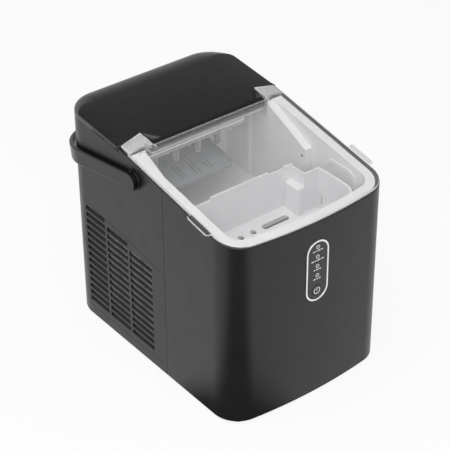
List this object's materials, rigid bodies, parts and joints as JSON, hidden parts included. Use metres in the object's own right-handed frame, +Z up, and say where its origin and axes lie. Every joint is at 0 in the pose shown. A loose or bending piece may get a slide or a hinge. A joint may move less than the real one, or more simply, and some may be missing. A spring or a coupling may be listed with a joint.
{
  "type": "ice maker",
  "caption": "Countertop ice maker with a bowed black casing, hinged clear lid, lift-out basket, side grilles, oval control panel and folding carry handle.",
  "frame": {"origin": "on the floor plane of the feet, under the middle of the casing and its folded handle", "axes": "+Z up; -Y is the front with the control panel; +X is the right-hand side as seen by a person facing the object rear, that is on the right in a front view"},
  "size_m": [0.241, 0.3392, 0.2859],
  "materials": {
    "casing_black": "fine satin moulded plastic",
    "base_black": "matt moulded plastic",
    "foot_rubber": "matt rubber",
    "cap_black": "satin moulded plastic",
    "clear_plastic": "clear polished plastic",
    "steel": "plain steel",
    "liner_white": "smooth satin plastic",
    "sensor_black": "dark lens",
    "basket_white": "smooth satin plastic",
    "nickel_plate": "nickel plating",
    "tray_grey": "smooth grey plastic",
    "motor_steel": "zinc-plated steel",
    "handle_black": "satin moulded plastic",
    "ring_silver": "bright plated trim",
    "panel_black": "gloss panel",
    "lens_white": "translucent lens",
    "circuit_board": "circuit board",
    "compressor_black": "black enamel",
    "fin_aluminium": "plain aluminium",
    "fan_plastic": "matt plastic",
    "hose_silicone": "translucent silicone",
    "copper": "drawn copper",
    "foam_white": "expanded foam"
  },
  "bodies": {
    "casing": {"front_housing": "casing_black", "rear_housing": "casing_black", "left_grille": "casing_black", "right_grille": "casing_black", "base_plate": "base_black", "rubber_feet": "foot_rubber", "top_cap": "cap_black", "lid_hinge_pins": "steel", "inner_liner": "liner_white", "lid_ear_wells": "liner_white", "ice_full_sensors": "sensor_black", "evaporator": "nickel_plate", "evaporator_cover": "liner_white", "tray_motor": "motor_steel", "handle_bosses": "handle_black", "handle_pivot_pins": "steel", "control_ring": "ring_silver", "control_panel": "panel_black", "indicator_lights": "lens_white", "display_board": "circuit_board", "compressor": "compressor_black", "compressor_grommets": "foot_rubber", "condenser_fins": "fin_aluminium", "condenser_bracket": "motor_steel", "fan_shroud": "base_black", "fan_motor": "compressor_black", "main_board": "circuit_board", "board_standoffs": "base_black", "water_pump": "fan_plastic", "pump_pad": "foot_rubber", "water_hose": "hose_silicone", "inlet_hose": "hose_silicone", "drain_pipe": "fan_plastic", "filter_drier": "copper", "hot_gas_valve": "motor_steel", "refrigerant_lines": "copper", "foam_insulation": "foam_white", "cord_gland": "foot_rubber", "rear_screws": "steel"},
    "lid": {"clear_lid": "clear_plastic"},
    "handle": {"carry_handle": "handle_black"},
    "basket": {"ice_basket": "basket_white"},
    "tray": {"water_tray": "tray_grey", "tray_shaft": "steel"},
    "shovel": {"ice_shovel": "tray_grey"},
    "fan": {"fan_blades": "fan_plastic"},
    "button": {"power_button": "panel_black"},
    "plug": {"drain_plug": "foot_rubber"}
  },
  "joints": [
    {"name": "lid_hinge", "type": "hinge", "parent": "casing", "child": "lid", "pos_m": [0, 0.028, 0.27103], "axis": [-1, 0, 0], "range_deg": [0, 100]},
    {"name": "handle_swing", "type": "hinge", "parent": "casing", "child": "handle", "pos_m": [0, 0.0109, 0.2467], "axis": [1, 0, 0], "range_deg": [0, 170]},
    {"name": "basket_lift", "type": "slide", "parent": "casing", "child": "basket", "axis": [0, 0, 1], "range_m": [0, 0.012]},
    {"name": "tray_tilt", "type": "hinge", "parent": "casing", "child": "tray", "pos_m": [0, 0.0908, 0.22], "axis": [-1, 0, 0], "range_deg": [0, 14]},
    {"name": "shovel_push", "type": "slide", "parent": "tray", "child": "shovel", "axis": [0, -0.9781, -0.2079], "range_m": [0, 0.036]},
    {"name": "fan_spin", "type": "hinge", "parent": "casing", "child": "fan", "pos_m": [-0.064, 0.0388, 0.076], "axis": [1, 0, 0], "continuous": true},
    {"name": "power_press", "type": "slide", "parent": "casing", "child": "button", "axis": [0, 1, 0], "range_m": [0, 0.001], "stiffness_N_per_m": 400, "springref_m": -0.0005},
    {"name": "drain_pull", "type": "slide", "parent": "casing", "child": "plug", "axis": [1, 0, 0], "range_m": [0, 0.014]}
  ]
}
